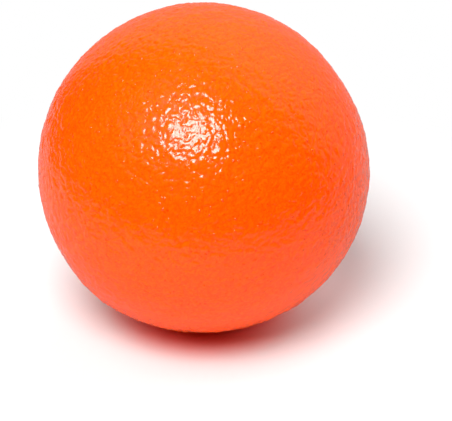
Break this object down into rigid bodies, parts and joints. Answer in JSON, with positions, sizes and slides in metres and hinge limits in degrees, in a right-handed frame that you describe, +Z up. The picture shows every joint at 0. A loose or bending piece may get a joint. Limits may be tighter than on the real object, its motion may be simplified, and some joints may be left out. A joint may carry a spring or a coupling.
{
  "type": "foam ball",
  "caption": "Soft foam ball with a glossy, finely wrinkled orange skin over a foam core, for throwing, catching and racket games.",
  "frame": {"origin": "on the floor under the ball's middle, in the resting flat", "axes": "+Z up from the resting flat through the ball's middle, -Y towards the front, where the picture was taken from, and the vent at the back"},
  "size_m": [0.0902, 0.09, 0.0895],
  "materials": {
    "colour_coat": "sprayed polyurethane elastomer, glossy and finely wrinkled, fluorescent orange",
    "base_coat": "thin sprayed sealing coat, satin, pale orange",
    "foam_core": "moulded open-cell polyurethane foam, matt, pale cream"
  },
  "bodies": {
    "root": {"colour_coat": "colour_coat", "base_coat": "base_coat", "foam_core": "foam_core"}
  },
  "joints": []
}
